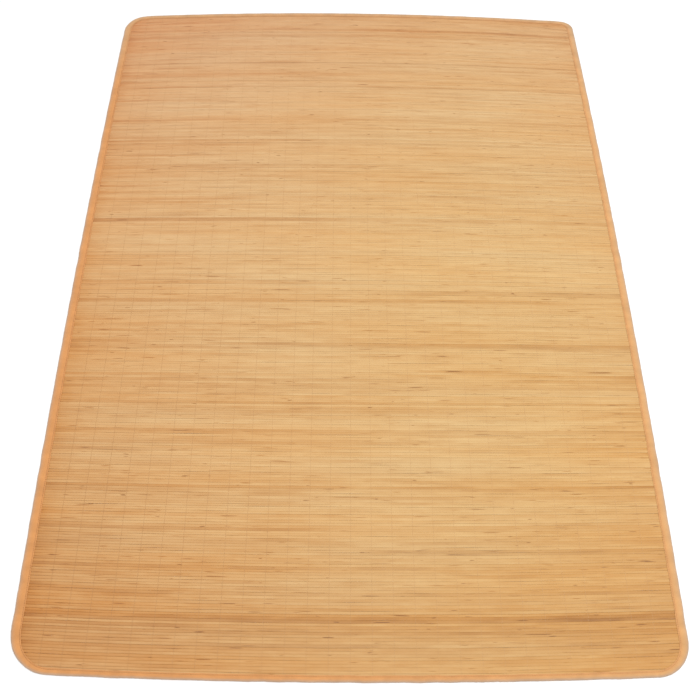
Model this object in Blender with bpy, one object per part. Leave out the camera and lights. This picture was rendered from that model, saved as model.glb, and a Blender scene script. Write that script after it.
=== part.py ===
# Rattan mat: a web of fine reeds, laid side by side across the mat, with one strip of cloth
# tape folded over its edge all the way round.
# Metres, +Z up. The mat lies flat on z = 0, its length along Y, with the origin under the
# middle of its box.

import math
from collections import namedtuple

import bmesh
import bpy

# Outline, with its width and length taken between the corners
MAT_WIDTH = 1.180
MAT_LENGTH = 1.770
CORNER_RADII = {"near_right": 0.0620, "far_right": 0.0300, "far_left": 0.0550, "near_left": 0.0745}

# Each edge bows outwards, by this much at its middle
NEAR_BOW = 0.0140
FAR_BOW = 0.0258
LEFT_BOW = 0.0090
RIGHT_BOW = 0.0113

# Web of reeds. Each reed shows as a low ridge along X on the upper face, and the ridges end
# under the tape, where the web's rim is pressed flat.
WEB_THICKNESS = 0.0024
REED_PITCH = 0.0055
GROOVE_DEPTH = 0.0008
RIDGE_STEPS = 6
RIDGE_INSET = 0.0085
GROOVE_END_DRAW = 0.0005
GAP = 0.0003

# Tape, folded over the web's edge. It covers more of the web on some sides than on others,
# and reaches as far underneath as on top, where one seam holds both layers.
TAPE_THICKNESS = 0.0006
TAPE_COVER = {"near": 0.0115, "right": 0.0165, "far": 0.0145, "left": 0.0180}
FOLD_DEPTH = 0.0025
FOLD_LOFT = 0.0002

# Heights that follow from the thicknesses
TONGUE_BASE = TAPE_THICKNESS + GAP
TAPE_EDGE_BASE = WEB_THICKNESS + GAP
TAPE_HEIGHT = TAPE_EDGE_BASE + FOLD_LOFT + TAPE_THICKNESS

# Steps round the outline and round the fold
CORNER_STEPS = 10
SHORT_SIDE_STEPS = 16
LONG_SIDE_STEPS = 22
FOLD_STEPS = 6

REED_COLOUR = "DAAA76"
TAPE_COLOUR = "E2AA75"

CENTRE_X = (RIGHT_BOW - LEFT_BOW) / 2
CENTRE_Y = (FAR_BOW - NEAR_BOW) / 2

# A place on the outline: its point, the way out of the mat there, and the tape's cover
Station = namedtuple("Station", "x y out_x out_y cover")

CORNERS = [
    {"name": "near_right", "side_x": 1, "side_y": -1, "start": -90, "before": "near", "after": "right"},
    {"name": "far_right", "side_x": 1, "side_y": 1, "start": 0, "before": "right", "after": "far"},
    {"name": "far_left", "side_x": -1, "side_y": 1, "start": 90, "before": "far", "after": "left"},
    {"name": "near_left", "side_x": -1, "side_y": -1, "start": 180, "before": "left", "after": "near"},
]
SIDE_STEPS = {"near": SHORT_SIDE_STEPS, "right": LONG_SIDE_STEPS, "far": SHORT_SIDE_STEPS, "left": LONG_SIDE_STEPS}


def clear_scene():
    for thing in list(bpy.data.objects):
        bpy.data.objects.remove(thing, do_unlink=True)


def linear_channel(value):
    return value / 12.92 if value <= 0.04045 else ((value + 0.055) / 1.055) ** 2.4


def make_material(name, hex_colour, roughness):
    channels = [linear_channel(int(hex_colour[i:i + 2], 16) / 255) for i in (0, 2, 4)]
    material = bpy.data.materials.new(name)
    material.use_nodes = True
    principled = material.node_tree.nodes["Principled BSDF"]
    principled.inputs["Base Color"].default_value = (*channels, 1.0)
    principled.inputs["Roughness"].default_value = roughness
    principled.inputs["Metallic"].default_value = 0.0
    return material


def corner_stations(corner):
    radius = CORNER_RADII[corner["name"]]
    centre_x = corner["side_x"] * (MAT_WIDTH / 2 - radius)
    centre_y = corner["side_y"] * (MAT_LENGTH / 2 - radius)
    cover_before = TAPE_COVER[corner["before"]]
    cover_after = TAPE_COVER[corner["after"]]
    stations = []
    for step in range(CORNER_STEPS + 1):
        share = step / CORNER_STEPS
        angle = math.radians(corner["start"] + 90 * share)
        out_x, out_y = math.cos(angle), math.sin(angle)
        ease = share * share * (3 - 2 * share)
        stations.append(Station(
            centre_x + radius * out_x,
            centre_y + radius * out_y,
            out_x, out_y,
            cover_before + (cover_after - cover_before) * ease))
    return stations


def side_stations(start, end, steps):
    stations = []
    for step in range(1, steps):
        share = step / steps
        stations.append(Station(
            start.x + (end.x - start.x) * share,
            start.y + (end.y - start.y) * share,
            start.out_x, start.out_y, start.cover))
    return stations


# The outline as if its sides were straight, counter-clockwise from the near side's right end
def outline_stations():
    arcs = [corner_stations(corner) for corner in CORNERS]
    stations = []
    for index, corner in enumerate(CORNERS):
        following = arcs[(index + 1) % len(arcs)]
        stations += arcs[index]
        stations += side_stations(arcs[index][-1], following[0], SIDE_STEPS[corner["after"]])
    return stations


# Moves a point of the straight-sided outline to its place on the bowed mat
def bowed(x, y):
    across = x / (MAT_WIDTH / 2)
    along = y / (MAT_LENGTH / 2)
    right_share = (across + 1) / 2
    far_share = (along + 1) / 2
    shift_x = (right_share * RIGHT_BOW - (1 - right_share) * LEFT_BOW) * (1 - along ** 2)
    shift_y = (far_share * FAR_BOW - (1 - far_share) * NEAR_BOW) * (1 - across ** 2)
    return x + shift_x - CENTRE_X, y + shift_y - CENTRE_Y


# How far the straight-sided outline reaches to the left and to the right at y, drawn in by
# inset all round
def reaches_at(y, inset):
    reaches = []
    for side in ("left", "right"):
        radius = CORNER_RADII[("near_" if y < 0 else "far_") + side]
        past = max(abs(y) - (MAT_LENGTH / 2 - radius), 0.0)
        reaches.append(MAT_WIDTH / 2 - radius + math.sqrt(max((radius - inset) ** 2 - past ** 2, 0.0)))
    return reaches


def line_vertices(mesh, y, reaches, height):
    left, right = reaches
    vertices = []
    for step in range(RIDGE_STEPS + 1):
        x = (left + right) * step / RIDGE_STEPS - left
        vertices.append(mesh.verts.new((*bowed(x, y), height)))
    return vertices


# A line along each reed's crown, and between two crowns a line along their groove. Each end
# of a groove closes with one small face. Gives the edge of the ridged area, in order.
def build_ridges(mesh):
    first = -MAT_LENGTH / 2 + RIDGE_INSET
    spaces = round((MAT_LENGTH - 2 * RIDGE_INSET) / REED_PITCH)
    pitch = (MAT_LENGTH - 2 * RIDGE_INSET) / spaces
    reaches = [reaches_at(first + pitch * index, RIDGE_INSET) for index in range(spaces + 1)]
    crowns = [line_vertices(mesh, first + pitch * index, reach, WEB_THICKNESS)
              for index, reach in enumerate(reaches)]
    for index in range(spaces):
        near, far = crowns[index], crowns[index + 1]
        drawn_in = [min(pair) - GROOVE_END_DRAW for pair in zip(reaches[index], reaches[index + 1])]
        groove = line_vertices(mesh, first + pitch * (index + 0.5), drawn_in, WEB_THICKNESS - GROOVE_DEPTH)
        for step in range(RIDGE_STEPS):
            mesh.faces.new((near[step], near[step + 1], groove[step + 1], groove[step]))
            mesh.faces.new((groove[step], groove[step + 1], far[step + 1], far[step]))
        mesh.faces.new((near[0], groove[0], far[0]))
        mesh.faces.new((near[-1], far[-1], groove[-1]))
    right_side = [line[-1] for line in crowns[1:-1]]
    left_side = [line[0] for line in reversed(crowns[1:-1])]
    return crowns[0] + right_side + list(reversed(crowns[-1])) + left_side


def ring_edges(mesh, ring):
    pairs = zip(ring, ring[1:] + ring[:1])
    return [mesh.edges.get(pair) or mesh.edges.new(pair) for pair in pairs]


def station_vertex(mesh, station, inset, height):
    x, y = bowed(station.x - station.out_x * inset, station.y - station.out_y * inset)
    return mesh.verts.new((x, y, height))


def join_rings(mesh, lower, upper):
    count = len(lower)
    for index in range(count):
        following = (index + 1) % count
        mesh.faces.new((lower[index], lower[following], upper[following], upper[index]))


def finish_object(name, mesh, material, smooth_degrees):
    bmesh.ops.recalc_face_normals(mesh, faces=mesh.faces)
    data = bpy.data.meshes.new(name)
    mesh.to_mesh(data)
    mesh.free()
    data.materials.append(material)
    data.shade_smooth()
    data.set_sharp_from_angle(angle=math.radians(smooth_degrees))
    thing = bpy.data.objects.new(name, data)
    bpy.context.scene.collection.objects.link(thing)
    return thing


# The web's rim is a thinner tongue, which lies in the folded tape. Inside the tape the web
# comes down level with the tape's underside, so both lie flat on the floor.
def build_reed_web(stations):
    mesh = bmesh.new()
    tongue_inset = FOLD_DEPTH + GAP
    rings = [
        [station_vertex(mesh, station, tongue_inset, WEB_THICKNESS) for station in stations],
        [station_vertex(mesh, station, tongue_inset, TONGUE_BASE) for station in stations],
        [station_vertex(mesh, station, station.cover + GAP, TONGUE_BASE) for station in stations],
        [station_vertex(mesh, station, station.cover + GAP, 0.0) for station in stations],
    ]
    for lower, upper in zip(rings, rings[1:]):
        join_rings(mesh, lower, upper)
    mesh.faces.new(list(reversed(rings[-1])))
    ridged_edge = build_ridges(mesh)
    rim = ring_edges(mesh, rings[0]) + ring_edges(mesh, ridged_edge)
    bmesh.ops.triangle_fill(mesh, edges=rim, use_beauty=True)
    material = make_material("split_reed", REED_COLOUR, 0.55)
    return finish_object("reed_web", mesh, material, 30)


# Half an ellipse, from the fold's lower end round the mat's edge to its upper end
def fold_curve(depth, inner_inset, base, top):
    middle = (base + top) / 2
    half_height = (top - base) / 2
    points = []
    for step in range(FOLD_STEPS + 1):
        angle = math.pi * step / FOLD_STEPS
        points.append((inner_inset - depth * math.sin(angle), middle - half_height * math.cos(angle)))
    return points


# The folded tape's section as (inset, height): its outside from the edge underneath to the
# edge on top, then its inside on the way back
def tape_section(cover):
    outside = fold_curve(FOLD_DEPTH, FOLD_DEPTH, 0.0, TAPE_HEIGHT)
    inside = fold_curve(FOLD_DEPTH - TAPE_THICKNESS, FOLD_DEPTH,
                        TAPE_THICKNESS, TAPE_HEIGHT - TAPE_THICKNESS)
    top_edge = [(cover, TAPE_EDGE_BASE + TAPE_THICKNESS), (cover, TAPE_EDGE_BASE)]
    under_edge = [(cover, TAPE_THICKNESS), (cover, 0.0)]
    return outside + top_edge + list(reversed(inside)) + under_edge


def build_edge_tape(stations):
    mesh = bmesh.new()
    sections = [[station_vertex(mesh, station, inset, height)
                 for inset, height in tape_section(station.cover)]
                for station in stations]
    for index, section in enumerate(sections):
        join_rings(mesh, section, sections[(index + 1) % len(sections)])
    material = make_material("cotton_tape", TAPE_COLOUR, 0.85)
    return finish_object("edge_tape", mesh, material, 40)


def main():
    clear_scene()
    stations = outline_stations()
    build_reed_web(stations)
    build_edge_tape(stations)


main()
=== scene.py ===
# Reed mat on a pale floor: split reeds twined side by side with cotton thread, their ends
# closed in by a cotton tape that is folded over the edge and stitched through.
# Metres. A straight-sided layout of the mat is drawn first, and bowPoints bends it to the
# mat's own outward-bowed edges.

import math
import random

import bmesh
import bpy
import numpy as np
from mathutils import Matrix, Vector


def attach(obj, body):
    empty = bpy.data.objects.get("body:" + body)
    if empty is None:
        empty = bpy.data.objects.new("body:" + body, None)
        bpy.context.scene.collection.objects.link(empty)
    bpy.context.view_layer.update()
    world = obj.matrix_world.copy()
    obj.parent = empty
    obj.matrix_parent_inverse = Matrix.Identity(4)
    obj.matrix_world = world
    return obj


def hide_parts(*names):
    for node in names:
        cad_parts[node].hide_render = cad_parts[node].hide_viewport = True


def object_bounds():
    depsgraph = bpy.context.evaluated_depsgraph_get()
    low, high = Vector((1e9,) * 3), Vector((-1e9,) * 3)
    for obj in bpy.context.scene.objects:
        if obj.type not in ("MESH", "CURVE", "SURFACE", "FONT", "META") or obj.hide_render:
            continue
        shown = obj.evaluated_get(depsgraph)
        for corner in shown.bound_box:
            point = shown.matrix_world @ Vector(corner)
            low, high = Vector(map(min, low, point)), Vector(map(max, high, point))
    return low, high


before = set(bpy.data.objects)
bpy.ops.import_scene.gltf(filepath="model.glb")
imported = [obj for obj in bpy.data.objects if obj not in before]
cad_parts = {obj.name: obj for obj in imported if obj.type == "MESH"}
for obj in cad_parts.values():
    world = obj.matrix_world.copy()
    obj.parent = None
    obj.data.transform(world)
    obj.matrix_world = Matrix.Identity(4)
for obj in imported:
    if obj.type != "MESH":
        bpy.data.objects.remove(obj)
cadLow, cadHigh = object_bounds()
print("frame loaded:", ", ".join(sorted(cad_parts)))

mm = 0.001

# Outline of the mat: how far each edge bows outwards at its middle. Its width and length
# between the corners follow from the CAD's box.
outline = {
    "nearBow": 0.0140,
    "farBow": 0.0258,
    "leftBow": 0.0090,
    "rightBow": 0.0113,
}
cornerRadii = {"nearRight": 0.0620, "farRight": 0.0300, "farLeft": 0.0550, "nearLeft": 0.0745}
outline["width"] = cadHigh[0] - cadLow[0] - outline["leftBow"] - outline["rightBow"]
outline["length"] = cadHigh[1] - cadLow[1] - outline["nearBow"] - outline["farBow"]


def bowPoints(x, y):  # arrays or numbers in the straight layout, to their place on the mat
    across = x / (outline["width"] / 2)
    along = y / (outline["length"] / 2)
    rightShare = (across + 1) / 2
    farShare = (along + 1) / 2
    shiftX = rightShare * outline["rightBow"] - (1 - rightShare) * outline["leftBow"]
    shiftY = farShare * outline["farBow"] - (1 - farShare) * outline["nearBow"]
    middleX = (outline["rightBow"] - outline["leftBow"]) / 2
    middleY = (outline["farBow"] - outline["nearBow"]) / 2
    return x + shiftX * (1 - along ** 2) - middleX, y + shiftY * (1 - across ** 2) - middleY


def radiusAt(x, y):
    return cornerRadii[("near" if y < 0 else "far") + ("Left" if x < 0 else "Right")]


# From the middle line to the left (-1) or right (1) side at y, drawn in by the inset
def halfWidthAt(y, inset, side):
    radius = radiusAt(side, y)
    past = max(abs(y) - (outline["length"] / 2 - radius), 0.0)
    return outline["width"] / 2 - radius + math.sqrt(max((radius - inset) ** 2 - past ** 2, 0.0))


# The same along the mat, to the near (-1) or far (1) end
def halfLengthAt(x, inset, end):
    radius = radiusAt(x, end)
    past = max(abs(x) - (outline["width"] / 2 - radius), 0.0)
    return outline["length"] / 2 - radius + math.sqrt(max((radius - inset) ** 2 - past ** 2, 0.0))


def srgb(hexColour):  # sRGB hex to the linear colour that the shaders take
    channels = []
    for start in (0, 2, 4):
        value = int(hexColour[start:start + 2], 16) / 255
        channels.append(value / 12.92 if value <= 0.04045 else ((value + 0.055) / 1.055) ** 2.4)
    return (*channels, 1.0)


def addNode(tree, kind, settings=None, inputs=None):
    node = tree.nodes.new(kind)
    for name, value in (settings or {}).items():
        setattr(node, name, value)
    for name, value in (inputs or {}).items():
        if isinstance(value, bpy.types.NodeSocket):
            tree.links.new(value, node.inputs[name])
        else:
            node.inputs[name].default_value = value
    return node


def newMaterial(name):
    material = bpy.data.materials.new(name)
    material.use_nodes = True
    material.node_tree.nodes.clear()
    return material, material.node_tree


def setRamp(node, stops):
    ramp = node.color_ramp
    while len(ramp.elements) < len(stops):
        ramp.elements.new(0.5)
    for element, (place, hexColour) in zip(ramp.elements, stops):
        element.position = place
        element.color = srgb(hexColour)


def closeMaterial(tree, shader):
    output = addNode(tree, "ShaderNodeOutputMaterial")
    tree.links.new(shader.outputs[0], output.inputs["Surface"])


# Split reed, peeled and dried: a satin skin over long straight fibres. Each reed has its own
# straw tone, which drifts along it. Some have a darker stretch, and many a short brown dash or
# fleck.
reedFinish = {
    "stops": [(0.0, "825126"), (0.22, "A5703C"), (0.45, "BD8A53"),
              (0.62, "C89B66"), (0.82, "D3AB77"), (1.0, "DEBB8B")],
    # length and width of each pattern in mm, and the tone that it adds at two levels of its
    # noise. The fibre is drawn coarser than real, so that it shows close to.
    "patterns": {
        "drift": {"size": (120, 900), "detail": 1.0, "levels": (0.25, 0.75), "adds": (-0.07, 0.07)},
        "stretch": {"size": (260, 700), "detail": 1.0, "levels": (0.58, 0.72), "adds": (0.0, -0.11)},
        "streak": {"size": (36, 900), "detail": 2.0, "levels": (0.25, 0.75), "adds": (-0.05, 0.045)},
        "fibre": {"size": (50, 0.45), "detail": 3.0, "levels": (0.25, 0.75), "adds": (-0.07, 0.06)},
        "dash": {"size": (55, 3.4), "detail": 1.0, "levels": (0.69, 0.77), "adds": (0.0, -0.4)},
        "fleck": {"size": (26, 4.5), "detail": 1.0, "levels": (0.74, 0.78), "adds": (0.0, -0.2)},
    },
    "fleckColour": "80511E",
    "fleckLevels": (0.76, 0.80),   # of the fleck's noise, where its own colour sets in
    "fleckStrength": 0.6,
    "leanMost": 2.0,               # a reed leans from -2, its greyest, to 2, its strongest
    "deeper": 0.10,                # share of its colour's strength that it gains or loses there
    "turn": 1.26,                  # degrees that its hue turns to red for each 1 of lean
    "sheenLevels": (0.2, 0.8),     # of the fibre's noise, and the skin's roughness at each
    "roughness": (0.42, 0.62),
}


def makeReedMaterial():
    finish = reedFinish
    material, tree = newMaterial("splitReed")
    # a reed's own place: along it, across the mat, and a number that differs from reed to reed
    place = addNode(tree, "ShaderNodeAttribute", {"attribute_name": "reedPlace"}).outputs["Vector"]
    tone = addNode(tree, "ShaderNodeAttribute", {"attribute_name": "reedTone"}).outputs["Fac"]
    lean = addNode(tree, "ShaderNodeAttribute", {"attribute_name": "reedLean"}).outputs["Fac"]
    hue = addNode(tree, "ShaderNodeAttribute", {"attribute_name": "reedHue"}).outputs["Fac"]
    noises = {}
    for name, pattern in finish["patterns"].items():
        length, width = pattern["size"]
        stretched = addNode(tree, "ShaderNodeMapping", None, {
            "Vector": place, "Scale": (1 / (length * mm), 1 / (width * mm), 1.0)}).outputs[0]
        noise = addNode(tree, "ShaderNodeTexNoise", None, {
            "Vector": stretched, "Scale": 1.0, "Detail": pattern["detail"]}).outputs["Fac"]
        change = addNode(tree, "ShaderNodeMapRange", None, {
            "Value": noise, "From Min": pattern["levels"][0], "From Max": pattern["levels"][1],
            "To Min": pattern["adds"][0], "To Max": pattern["adds"][1]}).outputs[0]
        tone = addNode(tree, "ShaderNodeMath", {"operation": "ADD"}, {0: tone, 1: change}).outputs[0]
        noises[name] = noise
    straw = addNode(tree, "ShaderNodeValToRGB", None, {"Fac": tone})
    setRamp(straw, finish["stops"])
    strength = addNode(tree, "ShaderNodeMapRange", None, {
        "Value": lean, "From Min": -finish["leanMost"], "From Max": finish["leanMost"],
        "To Min": 1 - finish["deeper"], "To Max": 1 + finish["deeper"]}).outputs[0]
    leaning = addNode(tree, "ShaderNodeHueSaturation", None,
                      {"Hue": hue, "Saturation": strength, "Color": straw.outputs["Color"]}).outputs[0]
    fleck = addNode(tree, "ShaderNodeMapRange", None, {
        "Value": noises["fleck"], "From Min": finish["fleckLevels"][0],
        "From Max": finish["fleckLevels"][1], "To Max": finish["fleckStrength"]}).outputs[0]
    flecked = addNode(tree, "ShaderNodeMix", {"data_type": "RGBA"},
                      {"Factor": fleck, 6: leaning, 7: srgb(finish["fleckColour"])}).outputs[2]
    grain = addNode(tree, "ShaderNodeBump", None,
                    {"Strength": 0.6, "Distance": 0.2 * mm, "Height": noises["fibre"]}).outputs[0]
    sheen = addNode(tree, "ShaderNodeMapRange", None, {
        "Value": noises["fibre"], "From Min": finish["sheenLevels"][0],
        "From Max": finish["sheenLevels"][1], "To Min": finish["roughness"][0],
        "To Max": finish["roughness"][1]}).outputs[0]
    shader = addNode(tree, "ShaderNodeBsdfPrincipled", None,
                     {"Base Color": flecked, "Normal": grain, "Roughness": sheen})
    closeMaterial(tree, shader)
    return material


# Reeds: one row for each, laid across the mat from the near end to the far end
reedSettings = {
    "pitch": 5.5 * mm,
    "widths": (0.86, 1.14),        # shares of the pitch, before all are fitted to the mat
    "gap": 0.06 * mm,
    "gaps": (0.2, 1.7),            # shares of that gap
    "thickness": 1.9 * mm,
    "thicknesses": (0.88, 1.08),   # shares of that thickness
    "base": 0.55 * mm,             # they lie on the threads and on the tape underneath
    "inset": 4.0 * mm,             # how far their ends stop short of the mat's edge
    "section": [(-0.34, 0.0), (0.34, 0.0), (0.5, 0.7), (0.4, 0.94), (0.0, 1.0), (-0.4, 0.94), (-0.5, 0.7)],
    "lengthSteps": 32,
    "endCrowding": 1.6,            # power that draws those steps closer near the ends
    "sharpAngle": 50,
    "tone": 0.622,                 # place on the material's ramp of colours
    "toneSpread": 0.014,
    "leanSpread": 0.2,
    "darkShare": 0.05,             # of the reeds, which are darker than the rest
    "darkBy": (0.05, 0.12),
    "wander": 0.35 * mm,           # neighbours wander together, so that they stay side by side
    "wanderTurns": (19, 43),       # radians a metre, of a slow wave and a quicker one
    "quickWander": 0.6,            # share of the slow wave's size that the quicker one has,
    "quickPhase": 3,               # and how many times its phase
    "phaseStep": (0.05, 0.3),      # radians from a reed's wave to the next one's, and its spread
    "swell": 0.015,                # a reed's width changes by this share along it
    "swellTurns": 27,
    "swellShift": 40,              # radians between the swells of the seeds 0 and 1
    "patternShift": 60,            # units of noise between their patterns
    "seed": 41,
}

# Darker and paler bands that run across the web: how far each is from the far end in mm, how
# deep it is along the mat, how dark, and between which places across the mat (-1 left, 1 right)
reedBands = [
    {"from": 62, "deep": 10, "dark": 0.14, "left": 0.0, "right": 1.2},
    {"from": 87, "deep": 7, "dark": 0.06, "left": -1.2, "right": 1.2},
    {"from": 225, "deep": 55, "dark": 0.07, "left": -1.2, "right": -0.88},
    {"from": 238, "deep": 8, "dark": 0.08, "left": -1.2, "right": 0.0},
    {"from": 281, "deep": 8, "dark": 0.12, "left": -0.9, "right": 1.2},
    {"from": 472, "deep": 9, "dark": 0.10, "left": -1.2, "right": 1.2},
    {"from": 510, "deep": 70, "dark": 0.03, "left": 0.2, "right": 1.2},
    {"from": 556, "deep": 10, "dark": 0.11, "left": -1.2, "right": 0.1},
    {"from": 615, "deep": 90, "dark": -0.02, "left": -1.2, "right": 0.3},
    {"from": 653, "deep": 8, "dark": 0.08, "left": -0.5, "right": 0.6},
    {"from": 722, "deep": 10, "dark": 0.10, "left": -1.2, "right": 1.2},
    {"from": 722, "deep": 12, "dark": 0.13, "left": -1.2, "right": -0.1},
    {"from": 780, "deep": 115, "dark": -0.025, "left": -1.2, "right": 1.2},
    {"from": 835, "deep": 6, "dark": 0.06, "left": -1.2, "right": 1.2},
    {"from": 906, "deep": 8, "dark": 0.08, "left": -1.2, "right": 0.0},
    {"from": 932, "deep": 10, "dark": 0.13, "left": 0.1, "right": 1.2},
    {"from": 951, "deep": 11, "dark": 0.12, "left": -1.2, "right": 0.7},
    {"from": 1020, "deep": 80, "dark": 0.03, "left": -1.2, "right": 1.2},
    {"from": 1055, "deep": 40, "dark": 0.07, "left": -1.2, "right": -0.86},
    {"from": 1071, "deep": 9, "dark": 0.17, "left": -0.4, "right": 1.2},
    {"from": 1145, "deep": 110, "dark": 0.04, "left": -1.2, "right": 1.2},
    {"from": 1157, "deep": 10, "dark": 0.13, "left": -1.2, "right": 0.2},
    {"from": 1157, "deep": 6, "dark": 0.10, "left": 0.5, "right": 1.2},
    {"from": 1222, "deep": 20, "dark": 0.07, "left": -0.5, "right": 0.5},
    {"from": 1279, "deep": 9, "dark": 0.11, "left": -1.2, "right": 1.2},
    {"from": 1301, "deep": 7, "dark": 0.10, "left": -1.2, "right": 0.3},
    {"from": 1325, "deep": 60, "dark": -0.035, "left": -1.2, "right": 1.2},
    {"from": 1400, "deep": 9, "dark": 0.11, "left": -1.2, "right": 1.2},
    {"from": 1423, "deep": 6, "dark": 0.08, "left": 0.0, "right": 1.2},
    {"from": 1440, "deep": 80, "dark": -0.03, "left": -1.2, "right": 1.2},
    {"from": 1475, "deep": 60, "dark": 0.08, "left": -1.2, "right": -0.80},
    {"from": 1487, "deep": 8, "dark": 0.07, "left": -1.2, "right": 0.0},
    {"from": 1530, "deep": 9, "dark": 0.11, "left": 0.0, "right": 1.2},
    {"from": 1607, "deep": 7, "dark": 0.08, "left": -1.2, "right": -0.4},
    {"from": 1625, "deep": 80, "dark": 0.03, "left": -0.5, "right": 1.2},
    {"from": 1658, "deep": 10, "dark": 0.18, "left": -0.7, "right": 1.2},
    {"from": 1658, "deep": 7, "dark": 0.12, "left": -1.2, "right": -0.7},
    {"from": 1682, "deep": 8, "dark": 0.10, "left": -1.2, "right": 1.2},
    {"from": 1704, "deep": 7, "dark": 0.11, "left": -0.5, "right": 0.1},
]
bandFade = 0.25  # share of the half width over which the end of a band fades


def drawTone(draw):  # a reed's own tone
    tone = reedSettings["tone"] + draw.gauss(0, reedSettings["toneSpread"])
    if draw.random() < reedSettings["darkShare"]:
        tone -= draw.uniform(*reedSettings["darkBy"])
    return tone


def layReeds():  # middle, width and ends of each reed in the layout
    settings = reedSettings
    draw = random.Random(settings["seed"])
    span = outline["length"] - 2 * settings["inset"]
    count = round(span / settings["pitch"])
    widths = [draw.uniform(*settings["widths"]) for _ in range(count)]
    stretch = span / sum(widths)
    reeds = []
    place = -outline["length"] / 2 + settings["inset"]
    phase = 0.0
    for width in widths:
        middle = place + width * stretch / 2
        reeds.append({
            "y": middle,
            "width": width * stretch - settings["gap"] * draw.uniform(*settings["gaps"]),
            "thickness": settings["thickness"] * draw.uniform(*settings["thicknesses"]),
            "left": halfWidthAt(middle, settings["inset"], -1),
            "right": halfWidthAt(middle, settings["inset"], 1),
            "seed": draw.random(),
            "tone": drawTone(draw),
            "lean": draw.gauss(0, settings["leanSpread"]),
            "phase": phase,
        })
        place += width * stretch
        phase += draw.gauss(*settings["phaseStep"])
    return reeds


def reedTemplate():  # one reed: its section, extruded along x from 0 to 1
    shape = bmesh.new()
    corners = [shape.verts.new((0, across, up)) for across, up in reedSettings["section"]]
    end = shape.faces.new(corners)
    grown = bmesh.ops.extrude_face_region(shape, geom=[end])
    moved = [item for item in grown["geom"] if isinstance(item, bmesh.types.BMVert)]
    bmesh.ops.translate(shape, verts=moved, vec=(1, 0, 0))
    longEdges = [edge for edge in shape.edges if abs(edge.verts[0].co.x - edge.verts[1].co.x) > 0.5]
    cuts = reedSettings["lengthSteps"] - 1
    bmesh.ops.subdivide_edges(shape, edges=longEdges, cuts=cuts, use_grid_fill=True)
    bmesh.ops.recalc_face_normals(shape, faces=shape.faces)
    # extrude lists its parts in another order on each run, so they are sorted along x, y and z
    weights = Vector((1000, 10, 1))
    shape.verts.sort(key=lambda vert: vert.co.dot(weights))
    shape.faces.sort(key=lambda face: face.calc_center_median().dot(weights))
    mesh = bpy.data.meshes.new("reedTemplate")
    shape.to_mesh(mesh)
    shape.free()
    return mesh


def placeOnWeb(x, y):  # from -1 at the left to 1 at the right, and from -1 at the near end to 1
    return x / (outline["width"] / 2), y / (outline["length"] / 2)


def edgeFade(distance, margin):  # full at the margin's edge, and a third of that one reach away
    return margin["by"] * np.exp(-distance / margin["reach"])


# Broad drift of tone, paler along the middle and deeper at the near end. By the tape it is painted light
# and shade: deeper just inside the far and left tape for the shade at its step, and paler just inside the
# near tape, where it lifts that shade. Each entry says by how much, and a "from" without mm is a place on
# the web.
toneDrift = {
    "crown": 0.02,
    "ripples": [
        {"by": 0.01, "along": 14, "start": 0, "across": 1},
        {"by": 0.012, "along": 31, "start": 2, "across": -1},
    ],
    # painted shade along the far tape's inner edge
    "farMargin": {"by": 0.15, "reach": 30 * mm},
    "nearEnd": {"by": 0.22, "from": -0.45},
    "nearMargin": {"by": 0.12, "reach": 9 * mm, "from": 12 * mm},  # this one is paler: painted light that lifts the shade at the near tape's step
    # painted shade along the left tape's inner edge
    "leftMargin": {"by": 0.10, "reach": 9 * mm, "from": 20 * mm},
    "nearLeft": {"by": 0.05, "reach": 70 * mm},
    "nearRight": {"by": 0.038, "from": 0.4},
}


def broadTone(x, y):
    drift = toneDrift
    across, along = placeOnWeb(x, y)
    across = np.clip(across, -1, 1)
    toNear, toFar = outline["length"] / 2 + y, outline["length"] / 2 - y
    ripples = 0
    for ripple in drift["ripples"]:
        turns = along * ripple["along"] + ripple["start"] + ripple["across"] * across
        ripples = ripples + ripple["by"] * np.sin(turns)
    nearEnd = drift["nearEnd"]["by"] * np.clip(-along + drift["nearEnd"]["from"], 0, 1)
    # painted light just inside the near tape, and painted shade along the far and left tape
    nearEnd = nearEnd - edgeFade(toNear - drift["nearMargin"]["from"], drift["nearMargin"])
    farEnd = edgeFade(toFar, drift["farMargin"])
    fromLeft = np.clip(x + outline["width"] / 2 - drift["leftMargin"]["from"], 0, 1)
    leftEnd = edgeFade(fromLeft, drift["leftMargin"])
    leftEnd = leftEnd + edgeFade(fromLeft, drift["nearLeft"]) * np.clip(-along, 0, 1)
    nearRight = drift["nearRight"]["by"] * np.clip(across, 0, 1)
    nearRight = nearRight * np.clip(drift["nearRight"]["from"] - along, 0, 1)
    return drift["crown"] * (1 - across ** 2) - nearEnd - farEnd - leftEnd - nearRight + ripples


# Broad drift of the colour's strength, on the scale of a reed's lean: stronger to the sides, at
# the near end and in the left and far margins, with patches and stripes of no fixed place
leanDrift = {
    "sides": 0.35,
    "farther": -0.62,
    "farEnd": {"by": 0.3, "from": 0.6},
    "rightEnd": {"by": 0.5, "from": 0.5, "before": 0.2},
    "nearMargin": {"by": 0.5, "reach": 130 * mm, "from": -0.4},
    # stronger colour along the left and far tape, going with the painted shade there
    "margin": {"by": 1.2, "reach": 40 * mm},
    "patches": {"by": 0.45, "across": 9, "along": 13, "start": 1, "sway": 4, "swayAlong": 5},
    "stripes": {"by": 0.3, "across": 3, "along": 71},
}


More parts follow.
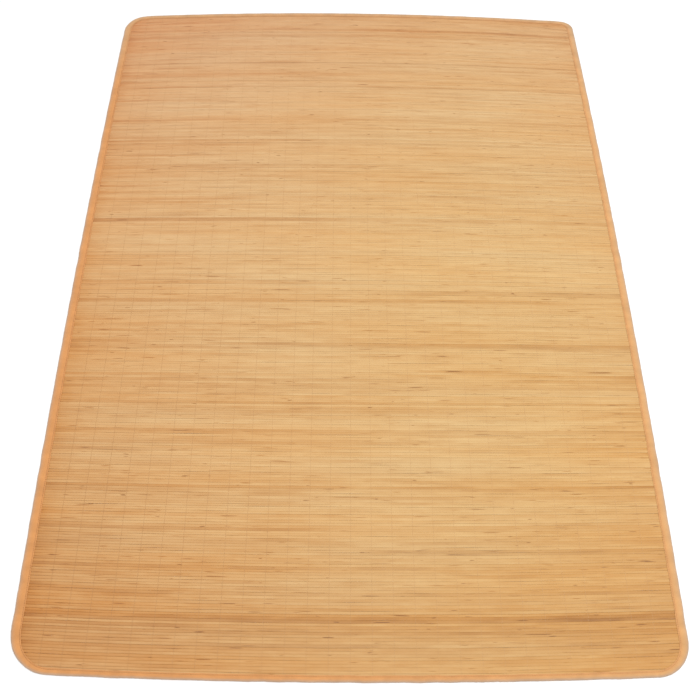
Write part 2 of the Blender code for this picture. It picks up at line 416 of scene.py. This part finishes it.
def broadLean(x, y):
    drift = leanDrift
    across, along = placeOnWeb(x, y)
    patch, stripe = drift["patches"], drift["stripes"]
    swayed = x * patch["across"] + patch["sway"] * np.sin(y * patch["swayAlong"])
    patches = patch["by"] * np.sin(swayed) * np.sin(y * patch["along"] + patch["start"])
    patches = patches + stripe["by"] * np.sin(y * stripe["along"] + x * stripe["across"])
    # the margins' stronger colour goes with the painted shade along the tape
    leftMargin = edgeFade(x + outline["width"] / 2, drift["margin"])
    margins = leftMargin + edgeFade(outline["length"] / 2 - y, drift["margin"])
    nearEnd = edgeFade(outline["length"] / 2 + y, drift["nearMargin"])
    nearEnd = nearEnd * np.clip(across - drift["nearMargin"]["from"], 0, 1)
    rightEnd = drift["rightEnd"]["by"] * np.clip(across - drift["rightEnd"]["from"], 0, 1)
    rightEnd = rightEnd * np.clip(-along + drift["rightEnd"]["before"], 0, 1)
    farEnd = drift["farEnd"]["by"] * np.clip(along - drift["farEnd"]["from"], 0, 1)
    slope = drift["sides"] * across ** 2 + drift["farther"] * along
    return slope + farEnd + rightEnd + nearEnd + margins + patches


# Broad drift of hue in degrees: redder straw at the far left, more golden in the middle and at
# the near right
hueDrift = {
    "middle": 2.0,
    "farther": -1.9,
    "ends": -1.9,
    "rightward": 1.35,
    "rightTurn": 1.9,      # radians from the middle to the right side
    "sides": -0.9,
}


def goldenTurn(x, y):
    drift = hueDrift
    across, along = placeOnWeb(x, y)
    turn = drift["middle"] + drift["farther"] * along + drift["ends"] * along ** 2
    return turn + drift["rightward"] * np.sin(drift["rightTurn"] * across) + drift["sides"] * across ** 2


# Grooves between the reeds, as a share of the section's own: shallowest in the middle and to
# the right, where the reeds lie closest, and deepest at the near left
grooveSettings = {
    "least": 0.5,
    "more": 0.55,
    "leftStart": 0.2,      # share of the way to the deepest that it is on the middle line
    "leftReach": 0.5,      # metres to the left in which it goes the whole way
    "nearStart": 0.25,     # metres nearer than the middle where it starts towards the near end
    "nearReach": 0.3,
    "grooveShade": 0.12,          # painted shade: tone that the reeds' edges lose as the groove deepens
    "sides": 0.45,         # share of a reed's width past which a point is in the groove
}


def grooveDepth(x, y):
    settings = grooveSettings
    leftShare = np.clip(settings["leftStart"] - x / settings["leftReach"], 0, 1)
    nearShare = np.clip((-y - settings["nearStart"]) / settings["nearReach"], 0, 1)
    return settings["least"] + settings["more"] * leftShare * nearShare


def bandDarkness(x, y):
    total = np.zeros_like(x)
    across, _ = placeOnWeb(x, y)
    fromFar = outline["length"] / 2 - y
    for band in reedBands:
        deep = (fromFar > band["from"] * mm) & (fromFar < (band["from"] + band["deep"]) * mm)
        rise = np.clip((across - band["left"]) / bandFade + 0.5, 0, 1)
        fall = np.clip((band["right"] - across) / bandFade + 0.5, 0, 1)
        total += deep * band["dark"] * rise * fall
    return total


def stackReeds(reeds):  # a mesh with one template for each reed, and the places of its points
    template = reedTemplate()
    web = bmesh.new()
    for _ in reeds:
        web.from_mesh(template)
    mesh = bpy.data.meshes.new("reeds")
    web.to_mesh(mesh)
    web.free()
    places = np.empty(len(mesh.vertices) * 3)
    mesh.vertices.foreach_get("co", places)
    places = places.reshape(len(reeds), len(template.vertices), 3)
    bpy.data.meshes.remove(template)
    return mesh, places


def colourReeds(mesh, column, x, y, grooveShade):  # what the material reads at each point
    middle = np.broadcast_to(column["y"], x.shape)
    # the grooves' painted shade is taken off the tone
    tones = column["tone"] + broadTone(x, middle) - bandDarkness(x, middle) - grooveShade
    leans = column["lean"] + broadLean(x, middle)
    hues = 0.5 + (goldenTurn(x, middle) - reedFinish["turn"] * leans) / 360
    for name, values in (("reedTone", tones), ("reedLean", leans), ("reedHue", hues)):
        mesh.attributes.new(name, "FLOAT", "POINT").data.foreach_set("value", values.ravel())
    apart = np.broadcast_to(column["seed"] * reedSettings["patternShift"], x.shape)
    ownPlace = np.stack([x, y, apart], axis=2).ravel()
    mesh.attributes.new("reedPlace", "FLOAT_VECTOR", "POINT").data.foreach_set("vector", ownPlace)


def makeReeds(reeds, material):
    settings, grooves = reedSettings, grooveSettings
    mesh, places = stackReeds(reeds)
    lengthwise, sideways, upwards = places[:, :, 0], places[:, :, 1], places[:, :, 2]
    column = {key: np.array([reed[key] for reed in reeds])[:, None] for key in reeds[0]}
    share = lengthwise * 2 - 1
    reach = np.where(share < 0, column["left"], column["right"])
    x = np.sign(share) * (1 - (1 - np.abs(share)) ** settings["endCrowding"]) * reach
    slow, quick = settings["wanderTurns"]
    wander = np.sin(x * slow + column["phase"])
    quickPhase = column["phase"] * settings["quickPhase"]
    wander = wander + settings["quickWander"] * np.sin(x * quick + quickPhase)
    wander = wander * settings["wander"] / (1 + settings["quickWander"])
    swelling = np.sin(x * settings["swellTurns"] + column["seed"] * settings["swellShift"])
    swell = 1 + settings["swell"] * swelling
    y = column["y"] + wander + sideways * column["width"] * swell
    depth = grooveDepth(x, y)
    up = np.where(upwards > 0.5, 1 - (1 - upwards) * depth, upwards)  # of the upper face alone
    z = settings["base"] + up * column["thickness"] * (2 - swell)  # thinner where it is wider
    bowedX, bowedY = bowPoints(x, y)
    mesh.vertices.foreach_set("co", np.stack([bowedX, bowedY, z], axis=2).ravel())
    # painted shade in the grooves: the points at a reed's edges lose tone where the groove is deeper
    grooveShade = grooves["grooveShade"] * (depth - grooves["least"]) * (np.abs(sideways) > grooves["sides"])
    colourReeds(mesh, column, x, y, grooveShade)
    mesh.materials.append(material)
    mesh.shade_smooth()
    mesh.set_sharp_from_angle(angle=math.radians(settings["sharpAngle"]))
    web = bpy.data.objects.new("reeds", mesh)
    bpy.context.scene.collection.objects.link(web)
    print(len(reeds), "reeds laid")
    return web


# Cotton thread, twisted: matt and close to the reeds in tone, duller towards the left side and paler
# towards the right, which is painted glare from the light on that side
threadFinish = {
    "colour": "BE9160",
    "dark": "9E7247",
    "paintedLightColour": "D9B17E",
    "paintedLighting": 0.85,
    "glareSides": (-0.55, 0.25),    # metres across the mat, where the painted glare starts and ends
    "twist": 1.1,                  # mm between the turns of its plies
    "roughness": 0.9,
}


def makeThreadMaterial(name, finish):
    material, tree = newMaterial(name)
    place = addNode(tree, "ShaderNodeTexCoord").outputs["Object"]
    fuzz = addNode(tree, "ShaderNodeTexNoise", None,
                   {"Vector": place, "Scale": 1 / (finish["twist"] * mm), "Detail": 2.0}).outputs["Fac"]
    cotton = addNode(tree, "ShaderNodeMix", {"data_type": "RGBA"},
                     {"Factor": fuzz, 6: srgb(finish["dark"]), 7: srgb(finish["colour"])}).outputs[2]
    # painted glare: towards the right side the thread takes the paler colour, for the light on that side
    sideways = addNode(tree, "ShaderNodeSeparateXYZ", None, {"Vector": place}).outputs["X"]
    paintedLighting = addNode(tree, "ShaderNodeMapRange", None, {
        "Value": sideways, "From Min": finish["glareSides"][0], "From Max": finish["glareSides"][1],
        "To Max": finish["paintedLighting"]}).outputs[0]
    paintedLightColour = addNode(tree, "ShaderNodeMix", {"data_type": "RGBA"},
                    {"Factor": paintedLighting, 6: cotton, 7: srgb(finish["paintedLightColour"])}).outputs[2]
    ply = addNode(tree, "ShaderNodeBump", None,
                  {"Strength": 0.6, "Distance": 0.1 * mm, "Height": fuzz}).outputs[0]
    shader = addNode(tree, "ShaderNodeBsdfPrincipled", None,
                     {"Base Color": paintedLightColour, "Roughness": finish["roughness"], "Normal": ply})
    closeMaterial(tree, shader)
    return material


# Twining threads: pairs that run the length of the mat. Over one reed a thread lies on top,
# under the next it lies beneath, and its partner does the opposite.
twineSettings = {
    "columns": 29,
    "spacing": 38.1 * mm,
    "radius": 0.20 * mm,
    "apart": 0.18 * mm,        # how far the two threads of a pair sway to the sides
    "grip": 0.33,              # share of a reed's width, either way, that a thread lies flat on
    "overReed": 0.5,           # height of its middle over a reed's top, in its radii
    "overFloor": 0.95,         # and over the floor, where it runs beneath one
    "inset": 6.0 * mm,         # how far it stops short of the mat's edge
}


def threadCurve(name, runs, radius, material, cyclic=False):
    curve = bpy.data.curves.new(name, "CURVE")
    curve.dimensions = "3D"
    curve.bevel_depth = radius
    curve.bevel_resolution = 0
    curve.use_fill_caps = not cyclic
    for run in runs:
        spline = curve.splines.new("POLY")
        spline.points.add(len(run) - 1)
        spline.points.foreach_set("co", np.hstack([run, np.ones((len(run), 1))]).ravel())
        spline.use_cyclic_u = cyclic
    curve.materials.append(material)
    thread = bpy.data.objects.new(name, curve)
    bpy.context.scene.collection.objects.link(thread)
    return thread


def makeTwine(reeds, material):
    settings = twineSettings
    runs = {"twineThreadOver": [], "twineThreadUnder": []}
    for column in range(settings["columns"]):
        x = (column - (settings["columns"] - 1) / 2) * settings["spacing"]
        near = -halfLengthAt(x, settings["inset"], -1)
        far = halfLengthAt(x, settings["inset"], 1)
        crossed = [reed for reed in reeds if near < reed["y"] < far]
        for start, name in enumerate(runs):
            points = []
            side = settings["apart"] * (1 if start else -1)
            for index, reed in enumerate(crossed):
                over = (index + start) % 2 == 0
                reedTop = reedSettings["base"] + reed["thickness"]
                top = reedTop + settings["radius"] * settings["overReed"]
                height = top if over else settings["radius"] * settings["overFloor"]
                sway = side * (1 if over else -1)
                for grip in (-settings["grip"], settings["grip"]):
                    points.append((x + sway, reed["y"] + grip * reed["width"], height))
            points = np.array(points)
            points[:, 0], points[:, 1] = bowPoints(points[:, 0], points[:, 1])
            runs[name].append(points)
    threads = [threadCurve(name, runs[name], settings["radius"], material) for name in runs]
    print(settings["columns"], "pairs of twining thread")
    return threads


# Cotton tape, twill woven and dyed tan: matt, with fine slanting ribs and painted shade in the grooves
# between them. Its colour also holds painted light and shade: paler on the right side for the glare from
# the light, darker at the far end, which faces away from it, greyer along the rounded fold as painted shade
# with some grime, and darker by the inner edge as painted shade of the step and seam.
tapeFinish = {
    "colour": "D99757",
    # colour of the painted shade in the grooves between the ribs
    "groove": "BB7F48",
    "fold": "B39880",
    # colour of the painted shade by the inner edge
    "pressed": "CA8A50",
    "paintedLightAndShade": [                # painted light and shade: to which colour, and between which places in metres; paler on the right for the glare there, darker at the far end, which faces away from the light
        {"colour": "CC9D67", "axis": "X", "from": -0.2, "to": 0.58},
        {"colour": "BF976C", "axis": "Y", "from": 0.6, "to": 0.88},
    ],
    "paintedLightMost": 0.8,
    "rib": 1.3,               # mm between ribs, a little coarser than real so that they show
    "ribAngle": 52,
    "wearPatch": 22.22,       # mm
    "wearLevels": (0.25, 0.75),
    "wear": (0.9, 1.08),      # brightness of the cloth at those two levels of the wear's noise
    "roughness": 0.85,
}


def makeTapeMaterial():
    finish = tapeFinish
    material, tree = newMaterial("twillTape")
    cloth = addNode(tree, "ShaderNodeUVMap", {"uv_map": "tapeCloth"}).outputs[0]
    turned = addNode(tree, "ShaderNodeMapping", None,
                     {"Vector": cloth, "Rotation": (0, 0, math.radians(finish["ribAngle"]))}).outputs[0]
    # a band of the Wave texture is 2 pi / 20 units wide at scale 1
    rib = addNode(tree, "ShaderNodeTexWave", {"wave_type": "BANDS", "bands_direction": "X"},
                  {"Vector": turned, "Scale": math.pi / 10 / (finish["rib"] * mm),
                   "Distortion": 0.6, "Detail": 1.0}).outputs["Fac"]
    wear = addNode(tree, "ShaderNodeTexNoise", {"noise_dimensions": "2D"},
                   {"Vector": cloth, "Scale": 1 / (finish["wearPatch"] * mm), "Detail": 3.0}).outputs["Fac"]
    # painted shade: the cloth darkens in the grooves between the ribs
    ribs = addNode(tree, "ShaderNodeMix", {"data_type": "RGBA"},
                   {"Factor": rib, 6: srgb(finish["groove"]), 7: srgb(finish["colour"])}).outputs[2]
    place = addNode(tree, "ShaderNodeTexCoord").outputs["Object"]
    sides = addNode(tree, "ShaderNodeSeparateXYZ", None, {"Vector": place})
    # painted light and shade: paler towards the right side for the glare, darker towards the far end, which
    # faces away from the light
    paintedLightColour = ribs
    for paintedLighting in finish["paintedLightAndShade"]:
        paintedShare = addNode(tree, "ShaderNodeMapRange", None, {
            "Value": sides.outputs[paintedLighting["axis"]], "From Min": paintedLighting["from"], "From Max": paintedLighting["to"],
            "To Max": finish["paintedLightMost"]}).outputs[0]
        paintedLightColour = addNode(tree, "ShaderNodeMix", {"data_type": "RGBA"},
                        {"Factor": paintedShare, 6: paintedLightColour, 7: srgb(paintedLighting["colour"])}).outputs[2]
    shadeAndGrime = addNode(tree, "ShaderNodeAttribute", {"attribute_name": "foldShadeAndGrime"}).outputs["Fac"]
    press = addNode(tree, "ShaderNodeAttribute", {"attribute_name": "innerEdgeShade"}).outputs["Fac"]
    # painted shade with some grime: the rounded fold greys where it curves away from the light
    foldShaded = addNode(tree, "ShaderNodeMix", {"data_type": "RGBA"},
                     {"Factor": shadeAndGrime, 6: paintedLightColour, 7: srgb(finish["fold"])}).outputs[2]
    # painted shade: the cloth darkens by its inner edge, for the shade of the step and the seam
    pressed = addNode(tree, "ShaderNodeMix", {"data_type": "RGBA"},
                      {"Factor": press, 6: foldShaded, 7: srgb(finish["pressed"])}).outputs[2]
    brightness = addNode(tree, "ShaderNodeMapRange", None, {
        "Value": wear, "From Min": finish["wearLevels"][0], "From Max": finish["wearLevels"][1],
        "To Min": finish["wear"][0], "To Max": finish["wear"][1]}).outputs[0]
    worn = addNode(tree, "ShaderNodeHueSaturation", None,
                   {"Color": pressed, "Value": brightness}).outputs[0]
    weave = addNode(tree, "ShaderNodeBump", None,
                    {"Strength": 0.5, "Distance": 0.12 * mm, "Height": rib}).outputs[0]
    shader = addNode(tree, "ShaderNodeBsdfPrincipled", None,
                     {"Base Color": worn, "Roughness": finish["roughness"], "Normal": weave,
                      "Sheen Weight": 0.15, "Sheen Roughness": 0.5})
    closeMaterial(tree, shader)
    return material


# Tape: how far it covers each side of the web, on top as underneath, and how its cloth waves
tapeSettings = {
    "cover": {"near": 11.5 * mm, "right": 16.5 * mm, "far": 14.5 * mm, "left": 18.0 * mm},
    "width": 33 * mm,          # of the cloth, unfolded, on average
    "cornersSave": 0.2,        # metres of its length that the rounded corners save, roughly
    "cloth": 0.45 * mm,
    "stations": 2400,
    "cornerSteps": 32,
    "mergeDistance": 0.01 * mm,
    "seamInset": 2.2 * mm,
    "stitch": 4.2 * mm,
    # how long each wave of the cloth is, in metres, and how high or far it moves the cloth
    "waves": {"edge": 0.06, "pucker": 0.011, "crease": 0.016, "sway": 0.07},
    "edgeWave": 0.15 * mm,
    "foldWave": 0.12 * mm,
    "swayWave": 0.35 * mm,
    "pucker": 0.16 * mm,
    "puckerMix": (0.7, 0.5),   # shares of the pucker and crease waves in it
    "waveCount": 6,            # sines in each of them, of these shares of its length
    "waveShares": (0.6, 1.6),
    "seed": 5,
}

# Its section from the edge on top, over the fold, to the edge underneath. Each row has the place across the
# tape, as a share of its cover plus millimetres inwards, the height of the cloth's outside in millimetres,
# how much of the pucker it takes, how far the fold is greyed by painted shade with some grime, and how far
# it is darkened by the painted shade of the step and seam at its inner edge.
tapeSection = [
    {"share": 1.00, "plus": 0.0, "height": 2.94, "pucker": 0.0, "shadeAndGrime": 0.0, "press": 0.4},
    {"share": 1.00, "plus": -0.9, "height": 3.05, "pucker": 0.5, "shadeAndGrime": 0.0, "press": 0.45},
    {"share": 1.00, "plus": -2.2, "height": 2.97, "pucker": 0.15, "shadeAndGrime": 0.0, "press": 0.45},
    {"share": 1.00, "plus": -3.6, "height": 3.16, "pucker": 0.8, "shadeAndGrime": 0.0, "press": 0.4},
    {"share": 0.55, "plus": 0.0, "height": 3.42, "pucker": 1.0, "shadeAndGrime": 0.0, "press": 0.0},
    {"share": 0.32, "plus": 0.0, "height": 3.40, "pucker": 0.9, "shadeAndGrime": 0.15, "press": 0.0},
    {"share": 0.00, "plus": 3.0, "height": 3.18, "pucker": 0.7, "shadeAndGrime": 0.4, "press": 0.0},
    {"share": 0.00, "plus": 1.5, "height": 2.72, "pucker": 0.4, "shadeAndGrime": 0.7, "press": 0.0},
    {"share": 0.00, "plus": 0.5, "height": 2.02, "pucker": 0.1, "shadeAndGrime": 0.8, "press": 0.0},
    {"share": 0.00, "plus": 0.1, "height": 1.25, "pucker": 0.0, "shadeAndGrime": 0.8, "press": 0.0},
    {"share": 0.00, "plus": 0.7, "height": 0.50, "pucker": 0.0, "shadeAndGrime": 0.7, "press": 0.0},
    {"share": 0.00, "plus": 2.0, "height": 0.10, "pucker": 0.0, "shadeAndGrime": 0.5, "press": 0.0},
    {"share": 0.35, "plus": 0.0, "height": 0.02, "pucker": 0.0, "shadeAndGrime": 0.3, "press": 0.0},
    {"share": 1.00, "plus": -3.8, "height": 0.03, "pucker": 0.0, "shadeAndGrime": 0.2, "press": 0.0},
    {"share": 1.00, "plus": -2.2, "height": 0.26, "pucker": 0.0, "shadeAndGrime": 0.1, "press": 0.0},
    {"share": 1.00, "plus": -0.9, "height": 0.03, "pucker": 0.0, "shadeAndGrime": 0.1, "press": 0.0},
    {"share": 1.00, "plus": 0.0, "height": 0.02, "pucker": 0.0, "shadeAndGrime": 0.0, "press": 0.0},
]


def outlineStations():  # the layout's outline, counter-clockwise, with the tape's cover there
    cover = tapeSettings["cover"]
    halfWidth, halfLength = outline["width"] / 2, outline["length"] / 2
    corners = [
        {"x": 1, "y": -1, "start": -90, "before": "near", "after": "right"},
        {"x": 1, "y": 1, "start": 0, "before": "right", "after": "far"},
        {"x": -1, "y": 1, "start": 90, "before": "far", "after": "left"},
        {"x": -1, "y": -1, "start": 180, "before": "left", "after": "near"},
    ]
    rows = []
    for corner in corners:
        radius = radiusAt(corner["x"], corner["y"])
        for step in range(tapeSettings["cornerSteps"] + 1):
            share = step / tapeSettings["cornerSteps"]
            angle = math.radians(corner["start"] + 90 * share)
            ease = share * share * (3 - 2 * share)
            rows.append((
                corner["x"] * (halfWidth - radius) + radius * math.cos(angle),
                corner["y"] * (halfLength - radius) + radius * math.sin(angle),
                math.cos(angle), math.sin(angle),
                cover[corner["before"]] * (1 - ease) + cover[corner["after"]] * ease))
    rows.append(rows[0])
    return np.array(rows)


def distancesRound(rows):  # how far round the outline each of its rows lies
    lengths = np.hypot(*np.diff(rows[:, :2], axis=0).T)
    return np.concatenate([[0], np.cumsum(lengths)])


def walkOutline(count):  # even steps round the outline, the last one a step short of the first
    rows = outlineStations()
    distances = distancesRound(rows)
    steps = np.linspace(0, distances[-1], count, endpoint=False)
    walked = np.stack([np.interp(steps, distances, column) for column in rows.T], axis=1)
    walked[:, 2:4] /= np.hypot(walked[:, 2], walked[:, 3])[:, None]
    return walked, steps, distances[-1]


def slowNoise(steps, around, wave, seed):  # smooth closed noise round the mat, about -1 to 1
    draw = random.Random(seed)
    total = np.zeros_like(steps)
    for _ in range(tapeSettings["waveCount"]):
        turns = round(around / (wave * draw.uniform(*tapeSettings["waveShares"])))
        total += np.sin(2 * math.pi * turns * steps / around + draw.uniform(0, 2 * math.pi))
    return total / (tapeSettings["waveCount"] / 2)


def makeTape(material):
    settings = tapeSettings
    count, across = settings["stations"], len(tapeSection)
    walked, steps, around = walkOutline(count)
    x, y, outX, outY, cover = (column[:, None] for column in walked.T)
    rows = {key: np.array([row[key] for row in tapeSection]) for key in tapeSection[0]}
    waves = {name: slowNoise(steps, around, wave, settings["seed"] + number)[:, None]
             for number, (name, wave) in enumerate(settings["waves"].items())}
    onCover = rows["share"] > 0
    inset = cover * rows["share"] + rows["plus"] * mm
    inset = inset + settings["edgeWave"] * waves["edge"] * onCover
    inset = inset + settings["foldWave"] * waves["crease"] * ~onCover
    inset = inset + settings["swayWave"] * waves["sway"]
    puckerShare, creaseShare = settings["puckerMix"]
    puckers = puckerShare * waves["pucker"] + creaseShare * waves["crease"]
    height = rows["height"] * mm + settings["pucker"] * rows["pucker"] * puckers
    placeX, placeY = bowPoints(x - outX * inset, y - outY * inset)
    sheet = bmesh.new()
    sheet.loops.layers.uv.new("tapeCloth")
    bmesh.ops.create_grid(sheet, x_segments=count, y_segments=across - 1, size=0.5, calc_uvs=True)
    uv = sheet.loops.layers.uv.active
    for face in sheet.faces:
        for loop in face.loops:
            place = loop.vert.co
            loop[uv].uv = ((place.x + 0.5) * around, (place.y + 0.5) * settings["width"])
    # painted shade for each row of the section: the fold's greying, with some grime, and the darkening by
    # the inner edge
    shadeAndGrimeLayer = sheet.verts.layers.float.new("foldShadeAndGrime")
    innerShadeLayer = sheet.verts.layers.float.new("innerEdgeShade")
    for vert in sheet.verts:
        station = round((vert.co.x + 0.5) * count) % count
        row = round((vert.co.y + 0.5) * (across - 1))
        vert.co = (placeX[station, row], placeY[station, row], height[station, row])
        vert[shadeAndGrimeLayer] = rows["shadeAndGrime"][row]
        vert[innerShadeLayer] = rows["press"][row]
    bmesh.ops.remove_doubles(sheet, verts=sheet.verts, dist=settings["mergeDistance"])
    bmesh.ops.recalc_face_normals(sheet, faces=sheet.faces)
    mesh = bpy.data.meshes.new("edgeTape")
    sheet.to_mesh(mesh)
    sheet.free()
    mesh.materials.append(material)
    mesh.shade_smooth()
    tape = bpy.data.objects.new("edgeTape", mesh)
    bpy.context.scene.collection.objects.link(tape)
    thicken = tape.modifiers.new("cloth", "SOLIDIFY")
    thicken.thickness = settings["cloth"]
    thicken.offset = -1
    print("tape folded over", round(around, 2), "m of edge")
    return tape


# Seam: one lockstitch line through the tape and the reeds, seen on top and underneath. Its
# cotton thread is matt, more finely twisted than the twine, and browner than the tape.
seamFinish = {
    "colour": "94643A",
    "dark": "704827",
    # painted glare towards the right side, as on the twine
    "paintedLightColour": "B88654",
    "paintedLighting": 0.9,
    "glareSides": (-0.55, 0.25),
    "twist": 0.9,
    "roughness": 0.85,
}
seamSettings = {
    "radius": 0.24 * mm,
    "top": 3.14 * mm,
    "under": 0.25 * mm,
    "dips": (0.5 * mm, 0.05 * mm, 0.0, 0.05 * mm),  # into the cloth, from a hole to the next
}


def makeSeam(material):
    settings = seamSettings
    stitches = round(distancesRound(outlineStations())[-1] / tapeSettings["stitch"])
    walked, _, _ = walkOutline(stitches * len(settings["dips"]))
    x, y, outX, outY, cover = walked.T
    inset = cover - tapeSettings["seamInset"]
    x, y = bowPoints(x - outX * inset, y - outY * inset)
    dip = np.tile(settings["dips"], stitches)
    seams = []
    for name, height in (("seamOnTop", settings["top"] - dip), ("seamUnderneath", settings["under"] + dip)):
        run = np.stack([x, y, height], axis=1)
        seams.append(threadCurve(name, [run], settings["radius"], material, cyclic=True))
    print(stitches, "stitches on each face")
    return seams


# Floor: matt white card, with no pattern and no shine
floorSettings = {"colour": "F3F3F3", "roughness": 0.95, "specular": 0.1, "half": 20, "below": 0.05 * mm}


def makeFloor():
    settings = floorSettings
    material, tree = newMaterial("whiteCard")
    shader = addNode(tree, "ShaderNodeBsdfPrincipled", None, {
        "Base Color": srgb(settings["colour"]), "Roughness": settings["roughness"],
        "Specular IOR Level": settings["specular"]})
    closeMaterial(tree, shader)
    floor = bmesh.new()
    bmesh.ops.create_grid(floor, x_segments=1, y_segments=1, size=settings["half"])
    mesh = bpy.data.meshes.new("floor")
    floor.to_mesh(mesh)
    floor.free()
    mesh.materials.append(material)
    thing = bpy.data.objects.new("floor", mesh)
    thing.location.z = -settings["below"]
    bpy.context.scene.collection.objects.link(thing)


# Camera: the photograph's own place and lens, for a square frame
cameraSettings = {
    "place": (-0.0294, -1.5370, 1.8394),
    "lens": 56.19,
    "sensor": 36,
    "clip": (0.05, 100),
    "down": 54.08,      # degrees below the horizon
    "yaw": 1.203,       # degrees to the right of +Y
    "roll": 1.450,      # degrees that its top leans to the left
}


def makeCamera():
    settings = cameraSettings
    down, yaw, roll = (math.radians(settings[key]) for key in ("down", "yaw", "roll"))
    forward = Vector((math.sin(yaw) * math.cos(down), math.cos(yaw) * math.cos(down), -math.sin(down)))
    right = Vector((math.cos(yaw), -math.sin(yaw), 0))
    up = right.cross(forward)
    turnedRight = math.cos(roll) * right + math.sin(roll) * up
    turnedUp = -math.sin(roll) * right + math.cos(roll) * up
    data = bpy.data.cameras.new("camera")
    data.sensor_width = settings["sensor"]
    data.lens = settings["lens"]
    data.clip_start, data.clip_end = settings["clip"]
    camera = bpy.data.objects.new("camera", data)
    turn = Matrix((turnedRight, turnedUp, -forward)).transposed().to_4x4()
    camera.matrix_world = Matrix.Translation(settings["place"]) @ turn
    bpy.context.scene.collection.objects.link(camera)
    bpy.context.scene.camera = camera


# Light: a bright white room, and one broad soft light a little to the right
lightSettings = {"colour": "FFFFFF", "room": 0.85, "power": 62, "size": 3.0, "place": (0.8, -0.2, 3.0)}


def makeLight():
    world = bpy.data.worlds.new("room")
    world.use_nodes = True
    background = world.node_tree.nodes["Background"]
    background.inputs["Color"].default_value = srgb(lightSettings["colour"])
    background.inputs["Strength"].default_value = lightSettings["room"]
    bpy.context.scene.world = world
    data = bpy.data.lights.new("softbox", "AREA")
    data.shape = "SQUARE"
    data.size = lightSettings["size"]
    data.energy = lightSettings["power"]
    lamp = bpy.data.objects.new("softbox", data)
    lamp.location = lightSettings["place"]
    lamp.rotation_euler = (-Vector(lightSettings["place"])).to_track_quat("-Z", "Y").to_euler()
    bpy.context.scene.collection.objects.link(lamp)
    bpy.context.scene.view_settings.view_transform = "Standard"


reeds = layReeds()
reedWeb = makeReeds(reeds, makeReedMaterial())
twine = makeTwine(reeds, makeThreadMaterial("cottonTwine", threadFinish))
tape = makeTape(makeTapeMaterial())
seams = makeSeam(makeThreadMaterial("seamThread", seamFinish))

for piece in [reedWeb, *twine]:
    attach(piece, "root")
for piece in [tape, *seams]:
    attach(piece, "root")
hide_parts("reed_web")
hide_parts("edge_tape")

makeFloor()
makeCamera()
makeLight()
print("floor, camera and light set")
